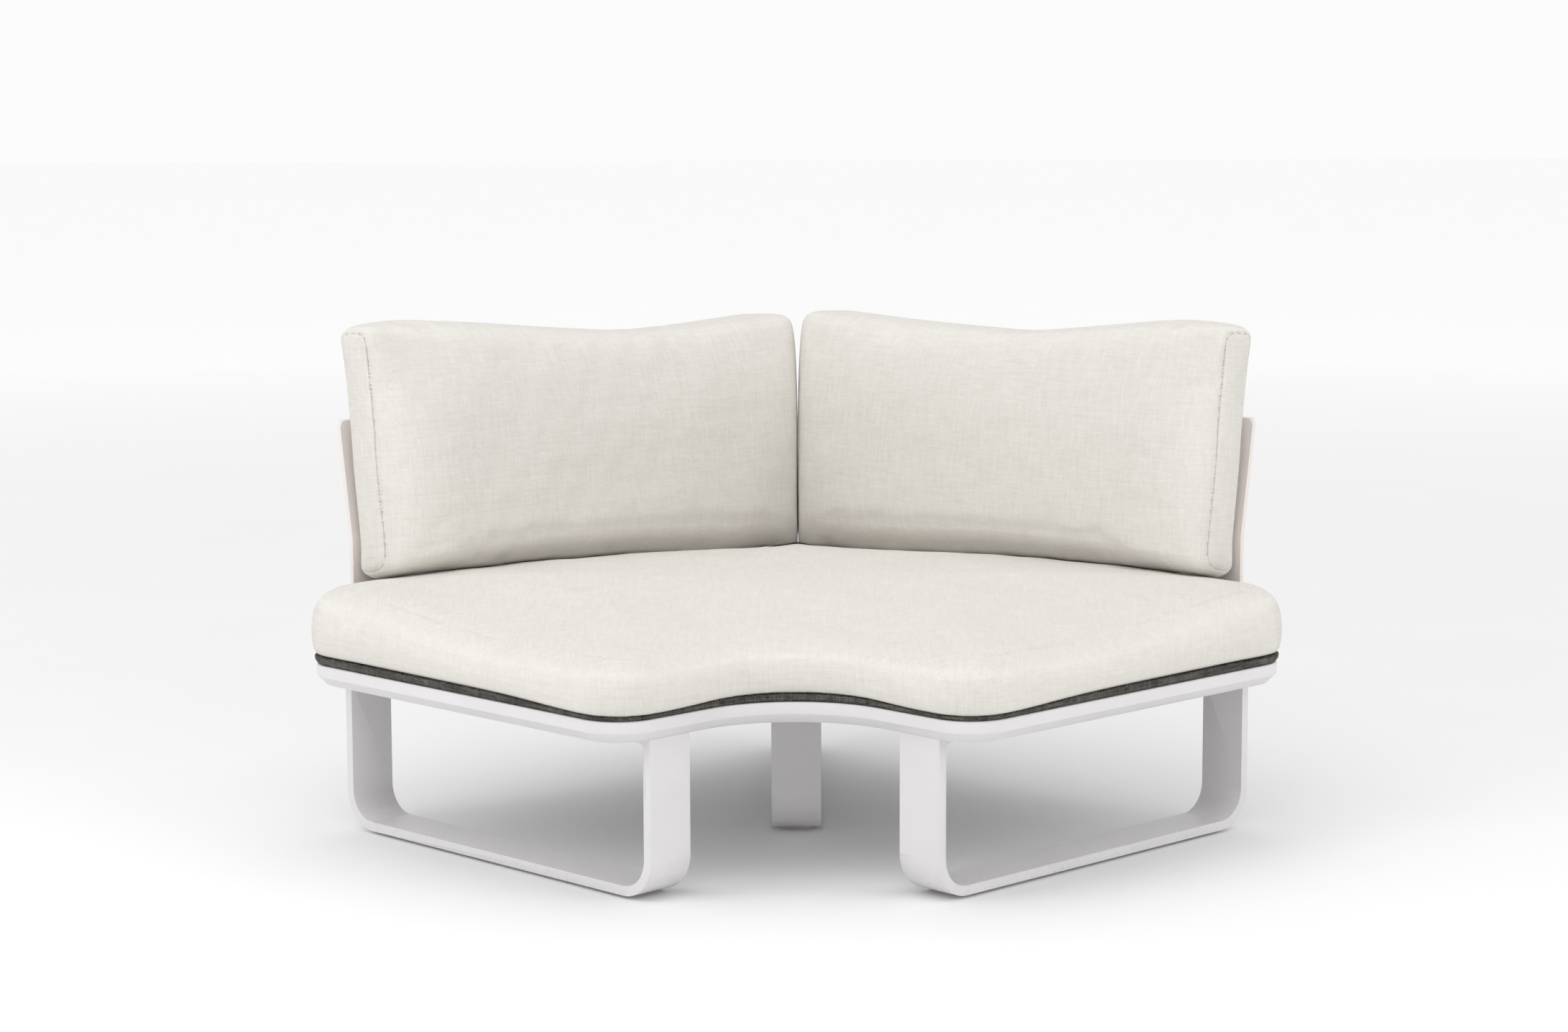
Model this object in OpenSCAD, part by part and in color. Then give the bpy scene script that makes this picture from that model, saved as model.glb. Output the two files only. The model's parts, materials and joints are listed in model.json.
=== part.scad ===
// Corner section of an outdoor lounge bench.
// Two seat wings meet at a right angle. A white flat-bar and channel frame stands on three
// U-shaped legs and carries one seat cushion and two loose back cushions.
// The work is drawn in plan axes: p runs from the outer back corner along the left back,
// q from the same corner along the right back. place() turns that plan so that the bench
// faces -Y, with the origin on the floor under the middle of its box.

/* [Seat frame] */
// Length of each wing, outer back corner to end face
wing_l = 1130; // [1000:5:1300]
// Depth of each wing, back edge to front edge
wing_d = 765; // [700:5:850]
// Radius of the outer corners in plan
corner_r = 70; // [65:1:90]
// Radius of the hollow between the wings at the front
concave_r = 175; // [120:5:210]
// Height of the rim's underside above the floor
rim_z = 250; // [220:1:300]
// Height of the rim
rim_h = 34; // [32:1:45]
// Width of the rim's channel in plan
rim_w = 60; // [52:1:64]
// Size of the 45 degree chamfer under the rim
chamfer = 15.5; // [10:0.5:16]
// Wall of the rim's channel
wall = 3; // [2:0.5:4]

/* [Legs] */
// Width of the leg's flat bar
bar_w = 80; // [60:1:100]
// Thickness of the leg's flat bar
bar_t = 15; // [10:1:16]
// Outer radius of the leg's lower bends
bend_r = 62; // [50:1:80]
// Distance from a wing's end face to its leg
leg_inset = 80; // [60:1:120]
// Front face of the rear leg, measured from the outer back corner
rear_leg_front = 825; // [780:1:840]
// Height of the glides
glide_h = 5; // [4:1:8]

/* [Backrest] */
// Distance from a wing's end face to the end of the backrest
back_inset = 112; // [100:1:140]
// Width of the backrest posts
post_w = 80; // [60:1:90]
// Thickness of the backrest's flat bar
post_t = 8; // [6:1:10]
// Height at which the posts bend back
bend_z = 470; // [440:1:500]
// Backwards lean above that bend
lean = 8.5; // [5:0.5:12]
// Height of the backrest's top edge
back_top = 662; // [640:1:700]

/* [Cushions] */
// How far the seat cushion stands out over the frame
overhang = 8; // [4:1:12]
// Height of the seat cushion's crown above the floor
seat_top = 430; // [420:1:440]
// Height of the seat cushion's top along its rear edge
seat_rear_edge = 397; // [385:1:402]
// Height of the seat cushion's top along its front edge
seat_front_edge = 370; // [355:1:385]
// Height of the dark mesh strip round the seat cushion
mesh_h = 10; // [8:1:14]
// Height of a back cushion
back_cushion_h = 405; // [380:1:430]
// Thickness of a back cushion at its crown
back_cushion_t = 140; // [125:1:150]
// Thickness of a back cushion at its seams
back_seam_t = 100; // [90:1:110]
// Backwards lean of the back cushions
cushion_lean = 4.5; // [3:0.5:6]
// Thickness of the cover cloth
cloth = 3; // [2:0.5:4]

/* [Hidden] */
$fn = 64;

root2 = sqrt(2);
gap = 0.3;                          // air between a cushion and what it lies against
eps = 0.01;
far = 3000;                         // longer than any part
white = [0.92, 0.91, 0.92];
cream = [0.88, 0.87, 0.84];
charcoal = [0.22, 0.21, 0.20];
foam_yellow = [0.93, 0.90, 0.75];
bolt_steel = [0.74, 0.74, 0.75];

rim_top = rim_z + rim_h;
top_round = 2.5;
slat_h = 6;
slat_w = 50;
slat_pitch = 95;
first_slat = 170;                   // from the outer back corner to the first slat's middle
front_slat_x = 90;                  // the front slats start this far from the middle
slat_z = rim_top - wall - slat_h;
spine_w = 80;
end_gap = 20;                       // cross members end this far inside the rim's outline

leg_len = wing_d - 2 * chamfer;
tab_l = rim_w - chamfer - bar_t;
tab_t = 8;
bolt_d = 8;
bolt_hole_d = 9;
bolt_pitch = 44;
bolt_at = chamfer + bar_t + tab_l / 2;   // bolt line, measured in from the rim's edge
nut_h = 6.5;
nut_d = 15;                         // across the corners
head_h = 5;
glide_l = 24;
glide_w = 50;
glide_at = bend_r + glide_l / 2;    // glide's middle, from the leg's outer face

post_q = -post_t;                   // the posts stand against the back of the rim
post_foot = rim_z + chamfer + 1;
post_end = wing_l - back_inset;
corner_post_p = 95;
post_screw_z = (rim_z + chamfer + rim_top - wall) / 2;
post_corner_r = 12;
screw_d = 6;
screw_pitch = 44;
rail_end = 10;                      // the rails stop this far inside the posts' outer edges
top_rail_h = 48;
middle_rail_z = 505;
lower_rail_z = 385;
rail_h = 40;

cushion_rear = 1;                   // rear edge of the seat cushion
base_z = rim_top + gap;
cover_z = base_z + mesh_h;
seat_front_q = wing_d + overhang;
seat_drop = sqrt((seat_top - seat_rear_edge) / (seat_top - seat_front_edge));
crown_q = (cushion_rear + seat_drop * seat_front_q) / (1 + seat_drop);
crown_r = pow(crown_q - cushion_rear, 2) / (2 * (seat_top - seat_rear_edge));

back_p0 = 74;                       // inner end of the left back cushion
back_l = post_end + 12 - back_p0;
back_z = 409.6;
back_q = 0.4 + (bend_z - back_z) * tan(cushion_lean);
along_rise = back_cushion_t - back_seam_t;
up_rise = 18;                       // the crown falls this far towards the top and bottom
along_r = crown_radius(back_l, along_rise);
up_r = crown_radius(back_cushion_h, up_rise);
zip_h = 8;

y_back = corner_r - root2 * corner_r;
y_front = -(wing_l + wing_d - 2 * corner_r) / root2 - corner_r - overhang;
mid_y = (y_back + y_front) / 2;

// q of the post's rear face at height z
function post_rear(z) = post_q - (z > bend_z ? (z - bend_z) * tan(lean) : 0);
// radius of the arc that rises by rise over a chord
function crown_radius(chord, rise) = (chord * chord / 4 + rise * rise) / (2 * rise);
// points of an arc round c from angle a0 to a1
function arc(c, r, a0, a1, n) =
    [for (i = [0:n], a = a0 + (a1 - a0) * i / n) c + r * [cos(a), sin(a)]];

// ---- placing -------------------------------------------------------------------------

// from plan axes p, q, z to the bench's own frame
module place() translate([0, -mid_y, 0]) rotate([0, 0, 225]) children();
// the same on the other side of the bench
module place_right() mirror([1, 0, 0]) place() children();
// shapes drawn with x across the bench and y measured from the outer back corner
module centred() translate([0, -mid_y, 0]) children();

// ---- plan outline --------------------------------------------------------------------

module rounded_rect(x0, y0, x1, y1, r) {
    translate([x0 + r, y0]) square([x1 - x0 - 2 * r, y1 - y0]);
    translate([x0, y0 + r]) square([x1 - x0, y1 - y0 - 2 * r]);
    for (x = [x0 + r, x1 - r], y = [y0 + r, y1 - r]) translate([x, y]) circle(r);
}

// the seat in plan axes: front and ends grown by g, the two rear edges set in by rear
module seat_plan(g, rear) {
    r = corner_r + g;
    cr = concave_r - g;
    d = wing_d + g;
    rounded_rect(rear, rear, wing_l + g, d, r);
    rounded_rect(rear, rear, d, wing_l + g, r);
    translate([d - eps, d - eps]) difference() {
        square(cr + eps);
        translate([cr + eps, cr + eps]) circle(cr);
    }
}

// ---- seat frame ----------------------------------------------------------------------

// section of the rim: x measured in from the outer edge, y the height
module rim_section() {
    c = wall * (root2 - 1);
    polygon(concat(
        [[0, rim_z + chamfer], [chamfer, rim_z], [rim_w, rim_z], [rim_w, rim_z + wall]],
        [[chamfer + c, rim_z + wall], [wall, rim_z + chamfer + c], [wall, rim_top - wall]],
        [[rim_w, rim_top - wall], [rim_w, rim_top]],
        arc([top_round, rim_top - top_round], top_round, 90, 180, 3)
    ));
}

module rim_run(at, heading, len) {
    translate([at[0], at[1], 0]) rotate([90, 0, heading + 90]) linear_extrude(len) rim_section();
}
module rim_corner(at, heading) {
    translate([at[0], at[1], 0]) rotate([0, 0, heading - 90]) rotate_extrude(angle = 90)
        translate([corner_r, 0]) mirror([1, 0]) rim_section();
}

module rim_ring() {
    r = corner_r;
    side = wing_l - 2 * r;
    front = wing_l - r - wing_d - concave_r;
    rim_run([r, 0], 0, side);
    rim_corner([wing_l - r, r], 0);
    rim_run([wing_l, r], 90, wing_d - 2 * r);
    rim_corner([wing_l - r, wing_d - r], 90);
    rim_run([wing_l - r, wing_d], 180, front);
    translate([wing_d + concave_r, wing_d + concave_r, 0]) rotate([0, 0, 180]) rotate_extrude(angle = 90)
        translate([concave_r, 0]) rim_section();
    rim_run([wing_d, wing_d + concave_r], 90, front);
    rim_corner([wing_d - r, wing_l - r], 90);
    rim_run([wing_d - r, wing_l], 180, wing_d - 2 * r);
    rim_corner([r, wing_l - r], 180);
    rim_run([0, wing_l - r], 270, side);
    rim_corner([r, r], 270);
}

module seat_rim() color(white) {
    difference() {
        place() rim_ring();
        for (s = [0, 1]) side(s) {
            wing_leg_holes();
            for (p = post_starts()) post_screw_holes(p);
        }
    }
}

// a wing's parts on the left (0) or on the right (1)
module side(s) {
    if (s == 0) place() children();
    else place_right() children();
}

module wing_leg_holes() {
    for (q = [bolt_at, wing_d - bolt_at], dp = [-1, 1] * bolt_pitch / 2)
        translate([wing_l - leg_inset - bar_w / 2 + dp, q, rim_z - 1])
            cylinder(d = bolt_hole_d, h = wall + 2);
}

module post_screw_holes(p) {
    post_screw_places(p) translate([0, 0, -post_t - 1])
        cylinder(d = screw_d + 0.4, h = post_t + wall + 2);
}
// the post's screw line: z runs forwards, 0 on the rim's rear face
module post_screw_places(p) {
    for (dp = [-1, 1] * screw_pitch / 2)
        translate([p + post_w / 2 + dp, 0, post_screw_z]) rotate([-90, 0, 0]) children();
}

function post_starts() = [corner_post_p, post_end - post_w];

// the beam under the slats, which also carries the rear leg
module centre_spine() color(white) {
    y0 = -rear_leg_front + leg_len - chamfer - bar_t - tab_l / 2;
    difference() {
        union() {
            spine_layer(rim_z, wall + eps, rim_w + gap);
            spine_layer(rim_z + wall, slat_z - rim_z - wall, end_gap);
        }
        centred() translate([-spine_w / 2 + wall, -far / 2, rim_z + 2 * wall])
            cube([spine_w - 2 * wall, far, slat_z - rim_z - 3 * wall]);
        rear_leg_bolt_places() translate([0, 0, rim_z - 1]) cylinder(d = bolt_hole_d, h = 2 * wall + 2);
    }
}
module spine_layer(z, h, inset) {
    intersection() {
        centred() translate([-spine_w / 2, -far / 2, z]) cube([spine_w, far, h]);
        place() translate([0, 0, z - 1]) linear_extrude(h + 2) seat_plan(-inset, inset);
    }
}

module slat(y, x0, x1) color(white) {
    intersection() {
        centred() translate([x0, y - slat_w / 2, slat_z]) cube([x1 - x0, slat_w, slat_h]);
        place() translate([0, 0, slat_z - 1]) linear_extrude(slat_h + 2) seat_plan(-end_gap, end_gap);
    }
}
module deck_slat(n) slat(-first_slat - (n - 1) * slat_pitch, -far / 2, far / 2);
module front_slat(n, right) {
    y = -first_slat - (9 + n) * slat_pitch;
    slat(y, right ? front_slat_x : -far / 2, right ? far / 2 : -front_slat_x);
}

module deck_slat_1() deck_slat(1);
module deck_slat_2() deck_slat(2);
module deck_slat_3() deck_slat(3);
module deck_slat_4() deck_slat(4);
module deck_slat_5() deck_slat(5);
module deck_slat_6() deck_slat(6);
module deck_slat_7() deck_slat(7);
module deck_slat_8() deck_slat(8);
module deck_slat_9() deck_slat(9);
module deck_slat_10() deck_slat(10);
module left_front_slat_1() front_slat(1, false);
module left_front_slat_2() front_slat(2, false);
module right_front_slat_1() front_slat(1, true);
module right_front_slat_2() front_slat(2, true);

// ---- legs ----------------------------------------------------------------------------

module u_plan(l, h, r) {
    translate([0, r]) square([l, h - r]);
    translate([r, 0]) square([l - 2 * r, h]);
    for (x = [r, l - r]) translate([x, r]) circle(r);
}

// one leg: x across the bar from 0 to bar_w, y along the leg from 0 to leg_len
module leg_body() {
    h = rim_z - glide_h;
    difference() {
        union() {
            translate([0, 0, glide_h]) rotate([90, 0, 90]) linear_extrude(bar_w) difference() {
                u_plan(leg_len, h, bend_r);
                translate([bar_t, bar_t]) u_plan(leg_len - 2 * bar_t, h, bend_r - bar_t);
            }
            for (y = [bar_t - eps, leg_len - bar_t - tab_l + eps])
                translate([0, y, rim_z - tab_t]) cube([bar_w, tab_l, tab_t]);
        }
        leg_bolt_places() translate([0, 0, rim_z - tab_t - 1]) cylinder(d = bolt_hole_d, h = tab_t + 2);
        leg_glide_places() translate([0, 0, glide_h - 1]) cylinder(d = 4.4, h = 12);
    }
}
module leg_bolt_places() {
    for (y = [bar_t + tab_l / 2, leg_len - bar_t - tab_l / 2], dx = [-1, 1] * bolt_pitch / 2)
        translate([bar_w / 2 + dx, y, 0]) children();
}
module leg_glide_places() {
    for (y = [glide_at, leg_len - glide_at]) translate([bar_w / 2, y, 0]) children();
}

module at_wing_leg() translate([wing_l - leg_inset - bar_w, chamfer, 0]) children();
module at_left_leg() place() at_wing_leg() children();
module at_right_leg() place_right() at_wing_leg() children();
// the rear leg's y = 0 is its rear face
module at_rear_leg() centred() mirror([0, 1, 0])
    translate([-bar_w / 2, rear_leg_front - leg_len, 0]) children();
module rear_leg_bolt_places() at_rear_leg() leg_bolt_places() children();

module left_leg() color(white) at_left_leg() leg_body();
module right_leg() color(white) at_right_leg() leg_body();
module rear_leg() color(white) at_rear_leg() leg_body();

module leg_bolt(grip) {
    translate([0, 0, rim_z - tab_t - head_h]) cylinder(d = 13, h = head_h);
    translate([0, 0, rim_z - tab_t - eps]) cylinder(d = bolt_d, h = tab_t + grip + nut_h + eps);
}
module leg_nut(grip) {
    translate([0, 0, rim_z + grip]) difference() {
        cylinder(d = nut_d, h = nut_h, $fn = 6);
        translate([0, 0, -1]) cylinder(d = bolt_d + 0.2, h = nut_h + 2);
    }
}
module leg_bolts() color(bolt_steel) {
    at_left_leg() leg_bolt_places() leg_bolt(wall);
    at_right_leg() leg_bolt_places() leg_bolt(wall);
    at_rear_leg() leg_bolt_places() leg_bolt(2 * wall);
}
module leg_nuts() color(bolt_steel) {
    at_left_leg() leg_bolt_places() leg_nut(wall);
    at_right_leg() leg_bolt_places() leg_nut(wall);
    at_rear_leg() leg_bolt_places() leg_nut(2 * wall);
}

module glide(y) color([0.8, 0.8, 0.8]) {
    r = 6;
    translate([bar_w / 2, y, 0]) difference() {
        linear_extrude(glide_h) rounded_rect(-glide_w / 2, -glide_l / 2, glide_w / 2, glide_l / 2, r);
        translate([0, 0, -1]) cylinder(d = 9.4, h = 4.2);
        translate([0, 0, 1]) cylinder(d = 4.6, h = glide_h);
    }
}
module left_rear_glide() at_left_leg() glide(glide_at);
module left_front_glide() at_left_leg() glide(leg_len - glide_at);
module right_rear_glide() at_right_leg() glide(glide_at);
module right_front_glide() at_right_leg() glide(leg_len - glide_at);
module rear_leg_rear_glide() at_rear_leg() glide(glide_at);
module rear_leg_front_glide() at_rear_leg() glide(leg_len - glide_at);

module glide_screw() {
    translate([0, 0, 1]) cylinder(d = 8.4, h = 2.2);
    translate([0, 0, 1]) cylinder(d = 4, h = 13);
}
module glide_screws() color(bolt_steel) {
    at_left_leg() leg_glide_places() glide_screw();
    at_right_leg() leg_glide_places() glide_screw();
    at_rear_leg() leg_glide_places() glide_screw();
}

// ---- backrest ------------------------------------------------------------------------

// section of a bar between two heights, its rear face set back by q: x is q, y the height
module strip(z0, z1, q) {
    zs = z0 < bend_z && z1 > bend_z ? [z0, bend_z, z1] : [z0, z1];
    polygon(concat(
        [for (z = zs) [post_rear(z) - q, z]],
        [for (i = [len(zs) - 1:-1:0]) [post_rear(zs[i]) + post_t - q, zs[i]]]
    ));
}
// a bar of that section along p
module strip_run(p0, p1, z0, z1, q) {
    translate([p0, 0, 0]) rotate([90, 0, 90]) linear_extrude(p1 - p0) strip(z0, z1, q);
}

// a post; its top corner towards the wing's end is rounded when round_end is true
module post(p, round_end) {
    r = post_corner_r;
    difference() {
        strip_run(p, p + post_w, post_foot, back_top, 0);
        if (round_end) translate([p + post_w - r, -100, back_top - r]) rotate([-90, 0, 0]) difference() {
            translate([0, -r - 1, 0]) cube([r + 1, r + 1, 200]);
            translate([0, 0, -1]) cylinder(r = r, h = 202);
        }
        post_screw_holes(p);
    }
}
module left_end_post() color(white) place() post(post_end - post_w, true);
module left_corner_post() color(white) place() post(corner_post_p, false);
module right_end_post() color(white) place_right() post(post_end - post_w, true);
module right_corner_post() color(white) place_right() post(corner_post_p, false);

// one bar behind a wing's two posts
module rail(z0, z1) {
    strip_run(corner_post_p + rail_end, post_end - rail_end, z0, z1, post_t);
}
module top_rail() rail(back_top - top_rail_h, back_top);
module middle_rail() rail(middle_rail_z, middle_rail_z + rail_h);
module lower_rail() rail(lower_rail_z, lower_rail_z + rail_h);
module left_top_rail() color(white) place() top_rail();
module left_middle_rail() color(white) place() middle_rail();
module left_lower_rail() color(white) place() lower_rail();
module right_top_rail() color(white) place_right() top_rail();
module right_middle_rail() color(white) place_right() middle_rail();
module right_lower_rail() color(white) place_right() lower_rail();

module post_screw() {
    translate([0, 0, -post_t - 3.5]) cylinder(d = 11, h = 3.5);
    translate([0, 0, -post_t - eps]) cylinder(d = screw_d, h = post_t + wall + 5 + eps);
}
module post_nut() {
    translate([0, 0, wall]) difference() {
        cylinder(d = 11, h = 5, $fn = 6);
        translate([0, 0, -1]) cylinder(d = screw_d + 0.2, h = 7);
    }
}
module post_screws() color(bolt_steel) {
    for (s = [0, 1], p = post_starts()) side(s) post_screw_places(p) post_screw();
}
module post_nuts() color(bolt_steel) {
    for (s = [0, 1], p = post_starts()) side(s) post_screw_places(p) post_nut();
}

// ---- seat cushion --------------------------------------------------------------------

// solid with the cushion's crowned top, its skin set in by t, standing on height z0
module seat_solid(t, z0) {
    difference() {
        place() translate([0, 0, z0]) linear_extrude(seat_top + 5 - z0)
            seat_plan(overhang - t, cushion_rear + t);
        for (s = [0, 1]) mirror([s, 0, 0]) above_wing(t);
    }
}
// everything over the left wing's top, up to the bench's middle plane
module above_wing(t) {
    difference() {
        translate([-far / 2, -far / 2, seat_front_edge - 30]) cube([far / 2, far, 200]);
        place() translate([-far / 4, crown_q, seat_top - crown_r]) rotate([0, 90, 0])
            cylinder(r = crown_r - t, h = far, $fn = 720);
    }
}
module seat_zip_box() place()
    translate([250, cushion_rear, cover_z + 6]) cube([600, cloth, zip_h]);

module seat_cover() color(cream) {
    difference() {
        seat_solid(0, cover_z);
        seat_solid(cloth, cover_z - 1);
        seat_zip_box();
    }
}
module seat_mesh_base() color(charcoal) {
    place() difference() {
        translate([0, 0, base_z]) linear_extrude(mesh_h) seat_plan(overhang, cushion_rear);
        translate([0, 0, base_z + cloth]) linear_extrude(mesh_h)
            seat_plan(overhang - cloth, cushion_rear + cloth);
    }
}
module seat_foam_core() color(foam_yellow) seat_solid(cloth, base_z + cloth);
module seat_zip() color(charcoal) seat_zip_box();

// ---- back cushions -------------------------------------------------------------------

// in the cushion's own axes: x along it, y forwards from its rear face, z up it
module back_frame() translate([back_p0, back_q, back_z]) rotate([cushion_lean, 0, 0]) children();

// pillow with a flat back and a front crowned both ways, its skin set in by t
module back_solid(t) {
    intersection() {
        translate([t, t, t]) cube([back_l - 2 * t, back_cushion_t - 2 * t, back_cushion_h - 2 * t]);
        translate([back_l / 2, back_cushion_t - along_r, -1])
            cylinder(r = along_r - t, h = back_cushion_h + 2, $fn = 1440);
        translate([-1, back_cushion_t - up_r, back_cushion_h / 2]) rotate([0, 90, 0])
            cylinder(r = up_r - t, h = back_l + 2, $fn = 720);
    }
}
module back_zip_box() translate([150, 0, 24]) cube([back_l - 300, cloth, zip_h]);

// the two cushions meet at the bench's middle plane, where each one's corner is pressed flat
module left_of_middle(t) difference() {
    place() children();
    translate([-gap - t, -far / 2, 0]) cube([far, far, far]);
}
module left_back_cover() color(cream) difference() {
    left_of_middle(0) back_frame() back_solid(0);
    left_of_middle(cloth) back_frame() back_solid(cloth);
    place() back_frame() back_zip_box();
}
module left_back_foam_core() color(foam_yellow) left_of_middle(cloth) back_frame() back_solid(cloth);
module left_back_zip() color(charcoal) place() back_frame() back_zip_box();
module right_back_cover() mirror([1, 0, 0]) left_back_cover();
module right_back_foam_core() mirror([1, 0, 0]) left_back_foam_core();
module right_back_zip() mirror([1, 0, 0]) left_back_zip();

// ---- output --------------------------------------------------------------------------

seat_rim();
centre_spine();
deck_slat_1();
deck_slat_2();
deck_slat_3();
deck_slat_4();
deck_slat_5();
deck_slat_6();
deck_slat_7();
deck_slat_8();
deck_slat_9();
deck_slat_10();
left_front_slat_1();
left_front_slat_2();
right_front_slat_1();
right_front_slat_2();
left_leg();
right_leg();
rear_leg();
leg_bolts();
leg_nuts();
left_front_glide();
left_rear_glide();
right_front_glide();
right_rear_glide();
rear_leg_front_glide();
rear_leg_rear_glide();
glide_screws();
left_end_post();
left_corner_post();
right_end_post();
right_corner_post();
left_top_rail();
left_middle_rail();
left_lower_rail();
post_screws();
post_nuts();
right_top_rail();
right_middle_rail();
right_lower_rail();
seat_cover();
seat_mesh_base();
seat_foam_core();
seat_zip();
left_back_cover();
left_back_foam_core();
left_back_zip();
right_back_cover();
right_back_foam_core();
right_back_zip();
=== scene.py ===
# Corner section of an outdoor lounge bench: white flat-bar frame, woven seat and back cushions.
import json
import math
import bpy
import numpy as np
from mathutils import Matrix, Vector
from mathutils.bvhtree import BVHTree
from mathutils.kdtree import KDTree


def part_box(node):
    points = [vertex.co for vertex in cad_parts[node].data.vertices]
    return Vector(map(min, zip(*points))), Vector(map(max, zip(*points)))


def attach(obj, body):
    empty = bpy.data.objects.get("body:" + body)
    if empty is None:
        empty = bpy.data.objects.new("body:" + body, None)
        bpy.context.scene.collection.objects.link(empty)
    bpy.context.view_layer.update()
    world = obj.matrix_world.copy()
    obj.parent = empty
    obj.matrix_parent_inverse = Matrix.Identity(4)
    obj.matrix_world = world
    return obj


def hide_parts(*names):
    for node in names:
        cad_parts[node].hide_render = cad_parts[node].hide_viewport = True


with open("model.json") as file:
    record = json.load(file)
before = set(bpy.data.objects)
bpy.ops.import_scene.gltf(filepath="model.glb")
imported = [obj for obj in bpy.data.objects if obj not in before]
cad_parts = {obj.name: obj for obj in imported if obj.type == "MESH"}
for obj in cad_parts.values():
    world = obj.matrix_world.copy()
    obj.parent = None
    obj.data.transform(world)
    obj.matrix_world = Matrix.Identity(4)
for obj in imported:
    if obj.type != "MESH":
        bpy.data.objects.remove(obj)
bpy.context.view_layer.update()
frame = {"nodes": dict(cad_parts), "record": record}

ROOT2 = math.sqrt(2)
MM = 0.001

# ---- sizes, from the frame --------------------------------------------------------------

RIM_LO, RIM_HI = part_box("seat_rim")
CORNER_R = 0.070                    # plan radius of the rim's outer corners
CONCAVE_R = 0.175                   # plan radius of the hollow between the wings
VERTEX_Y = RIM_HI.y + (ROOT2 - 1) * CORNER_R
WING_L = (RIM_HI.x - CORNER_R) * ROOT2 + 2 * CORNER_R
WING_D = (VERTEX_Y - RIM_LO.y - CORNER_R) * ROOT2 + 2 * CORNER_R - WING_L
RIM_TOP = RIM_HI.z
OUTLINE_STEP = 0.008                # distance between points on the plan outlines
ABOVE = 0.6                         # height over the seat from which it is probed

# ---- plan outline -----------------------------------------------------------------------


def plan_to_row(p, q):
    """Wing axes p, q (from the outer back corner) to x, y of the row frame."""
    return (q - p) / ROOT2, VERTEX_Y - (p + q) / ROOT2


def row_to_plan(x, y):
    a = (VERTEX_Y - y) * ROOT2
    b = x * ROOT2
    return (a - b) / 2, (a + b) / 2


def arc_points(c, r, a0, a1, step, sign=1):
    n = max(2, int(abs(math.radians(a1 - a0)) * r / step))
    out = []
    for i in range(n):
        a = math.radians(a0 + (a1 - a0) * i / n)
        out.append((c[0] + r * math.cos(a), c[1] + r * math.sin(a), sign * math.cos(a), sign * math.sin(a)))
    return out


def line_points(a, b, normal, step):
    n = max(1, int(math.dist(a, b) / step))
    return [(a[0] + (b[0] - a[0]) * i / n, a[1] + (b[1] - a[1]) * i / n, *normal) for i in range(n)]


def seat_outline():
    """Points (p, q, outward normal) round the rim's outer edge, counter-clockwise in plan axes."""
    long, deep, r, c, step = WING_L, WING_D, CORNER_R, CONCAVE_R, OUTLINE_STEP
    pts = line_points((r, 0), (long - r, 0), (0, -1), step)
    pts += arc_points((long - r, r), r, -90, 0, step)
    pts += line_points((long, r), (long, deep - r), (1, 0), step)
    pts += arc_points((long - r, deep - r), r, 0, 90, step)
    pts += line_points((long - r, deep), (deep + c, deep), (0, 1), step)
    pts += arc_points((deep + c, deep + c), c, 270, 180, step, -1)
    pts += line_points((deep, deep + c), (deep, long - r), (1, 0), step)
    pts += arc_points((deep - r, long - r), r, 0, 90, step)
    pts += line_points((deep - r, long), (r, long), (0, 1), step)
    pts += arc_points((r, long - r), r, 90, 180, step)
    pts += line_points((0, long - r), (0, r), (-1, 0), step)
    pts += arc_points((r, r), r, 180, 270, step)
    return np.array(pts)


def rounded_rectangle(lo, hi, r, step):
    """Points (a, b, outward normal) round a rectangle with rounded corners, counter-clockwise."""
    (a0, b0), (a1, b1) = lo, hi
    pts = line_points((a0 + r, b0), (a1 - r, b0), (0, -1), step)
    pts += arc_points((a1 - r, b0 + r), r, -90, 0, step)
    pts += line_points((a1, b0 + r), (a1, b1 - r), (1, 0), step)
    pts += arc_points((a1 - r, b1 - r), r, 0, 90, step)
    pts += line_points((a1 - r, b1), (a0 + r, b1), (0, 1), step)
    pts += arc_points((a0 + r, b1 - r), r, 90, 180, step)
    pts += line_points((a0, b1 - r), (a0, b0 + r), (-1, 0), step)
    pts += arc_points((a0 + r, b0 + r), r, 180, 270, step)
    return np.array(pts)


OUTLINE = seat_outline()


def smooth(x, lo, hi):
    t = np.clip((np.asarray(x, float) - lo) / (hi - lo), 0, 1)
    return t * t * (3 - 2 * t)


def ease(d, reach, power=2.0):
    """0 at d = 0, rising to 1 at d = reach and flat beyond it."""
    return 1 - (1 - np.clip(d / reach, 0, 1)) ** power


def wave_noise(a, b, seed, scale):
    """Smooth, seeded ripple field made of a few crossing waves, about -1 to 1."""
    rng = np.random.RandomState(seed)
    out = 0
    for _ in range(7):
        k = rng.uniform(0.6, 1.7) / scale
        t = rng.uniform(0, 2 * math.pi)
        out = out + np.sin(2 * math.pi * k * (a * math.cos(t) + b * math.sin(t)) + rng.uniform(0, 6.28))
    return out / 4


# ---- mesh helpers -----------------------------------------------------------------------

PUFF_FRAMES = 16                    # length of each cloth simulation


def mesh_object(name, verts, faces, matrix=None):
    mesh = bpy.data.meshes.new(name)
    mesh.from_pydata([tuple(v) for v in verts], [], faces)
    mesh.update()
    obj = bpy.data.objects.new(name, mesh)
    bpy.context.scene.collection.objects.link(obj)
    if matrix is not None:
        obj.matrix_world = matrix
    return obj


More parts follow.
